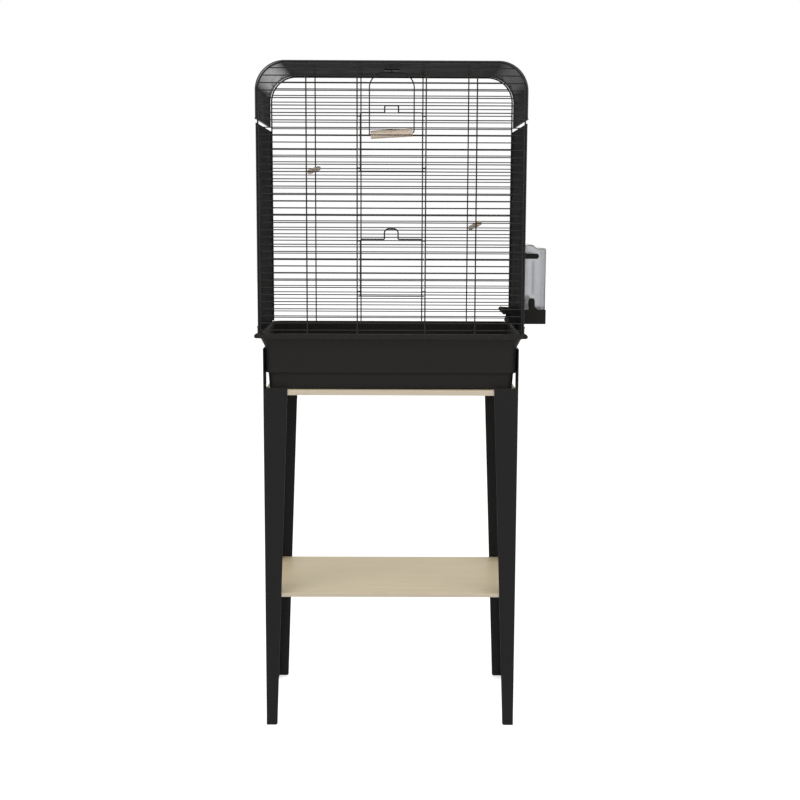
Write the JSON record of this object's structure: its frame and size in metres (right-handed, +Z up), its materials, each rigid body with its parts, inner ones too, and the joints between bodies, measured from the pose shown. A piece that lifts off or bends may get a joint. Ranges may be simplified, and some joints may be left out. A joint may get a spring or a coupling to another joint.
{
  "type": "bird cage with stand",
  "caption": "Tall bird cage with an arched black roof, wire front and back, sliding doors, swing, perches and side feeder, on a stand with boards.",
  "frame": {"origin": "on the floor under the middle of the object's outline, feeder and latches included", "axes": "+Z up, -Y towards the front panel with the doors, +X towards the feeder's side"},
  "size_m": [0.5646, 0.284, 1.2814],
  "materials": {
    "black_shell": "glossy black coated sheet",
    "black_moulding": "satin black moulded plastic",
    "black_paint": "satin black powder coat",
    "dark_wire": "dark coated wire",
    "pale_board": "pale smooth board",
    "turned_wood": "plain turned dowel",
    "smoke_clear": "clear plastic with a light smoky tint",
    "bright_screw": "zinc plated"
  },
  "bodies": {
    "stand": {"board_screw_front_left": "bright_screw", "board_screw_front_right": "bright_screw", "board_screw_rear_left": "bright_screw", "board_screw_rear_right": "bright_screw", "leg_front_left": "black_paint", "leg_front_right": "black_paint", "leg_rear_left": "black_paint", "leg_rear_right": "black_paint", "lower_shelf": "pale_board", "shelf_screw_front_left": "bright_screw", "shelf_screw_front_right": "bright_screw", "shelf_screw_rear_left": "bright_screw", "shelf_screw_rear_right": "bright_screw", "upper_board": "pale_board"},
    "cage": {"base_tub": "black_moulding", "roof_shell": "black_shell", "side_panel_left": "black_shell", "side_panel_right": "black_shell", "front_wire_panel": "dark_wire", "rear_wire_panel": "dark_wire", "swing_hanger": "black_moulding", "perch_left": "turned_wood", "perch_right": "turned_wood", "feeder_trough": "black_moulding", "feeder_clip": "black_moulding", "feeder_perch": "black_moulding"},
    "upper_door": {"upper_door": "dark_wire"},
    "lower_door": {"lower_door": "dark_wire"},
    "swing": {"swing_hoop": "dark_wire", "swing_perch": "turned_wood"},
    "hopper": {"feeder_hopper": "smoke_clear"},
    "latch_front_left": {"latch_front_left": "black_moulding"},
    "latch_front_right": {"latch_front_right": "black_moulding"},
    "latch_rear_left": {"latch_rear_left": "black_moulding"},
    "latch_rear_right": {"latch_rear_right": "black_moulding"}
  },
  "joints": [
    {"name": "cage_lift", "type": "slide", "parent": "stand", "child": "cage", "axis": [0, 0, 1], "range_m": [0, 0.1]},
    {"name": "upper_door_slide", "type": "slide", "parent": "cage", "child": "upper_door", "axis": [0, 0, 1], "range_m": [0, 0.07]},
    {"name": "lower_door_slide", "type": "slide", "parent": "cage", "child": "lower_door", "axis": [0, 0, 1], "range_m": [0, 0.07]},
    {"name": "swing_pivot", "type": "hinge", "parent": "cage", "child": "swing", "pos_m": [-0.0213, 0.00197, 1.2727], "axis": [1, 0, 0], "range_deg": [-25, 25]},
    {"name": "hopper_lift", "type": "slide", "parent": "cage", "child": "hopper", "axis": [0, 0, 1], "range_m": [0, 0.04]},
    {"name": "latch_front_left_pivot", "type": "hinge", "parent": "cage", "child": "latch_front_left", "pos_m": [-0.2783, -0.10803, 0.7695], "axis": [0, -1, 0], "range_deg": [0, 110]},
    {"name": "latch_front_right_pivot", "type": "hinge", "parent": "cage", "child": "latch_front_right", "pos_m": [0.2357, -0.10803, 0.7695], "axis": [0, 1, 0], "range_deg": [0, 110]},
    {"name": "latch_rear_left_pivot", "type": "hinge", "parent": "cage", "child": "latch_rear_left", "pos_m": [-0.2783, 0.11197, 0.7695], "axis": [0, -1, 0], "range_deg": [0, 110]},
    {"name": "latch_rear_right_pivot", "type": "hinge", "parent": "cage", "child": "latch_rear_right", "pos_m": [0.2357, 0.11197, 0.7695], "axis": [0, 1, 0], "range_deg": [0, 110]}
  ]
}
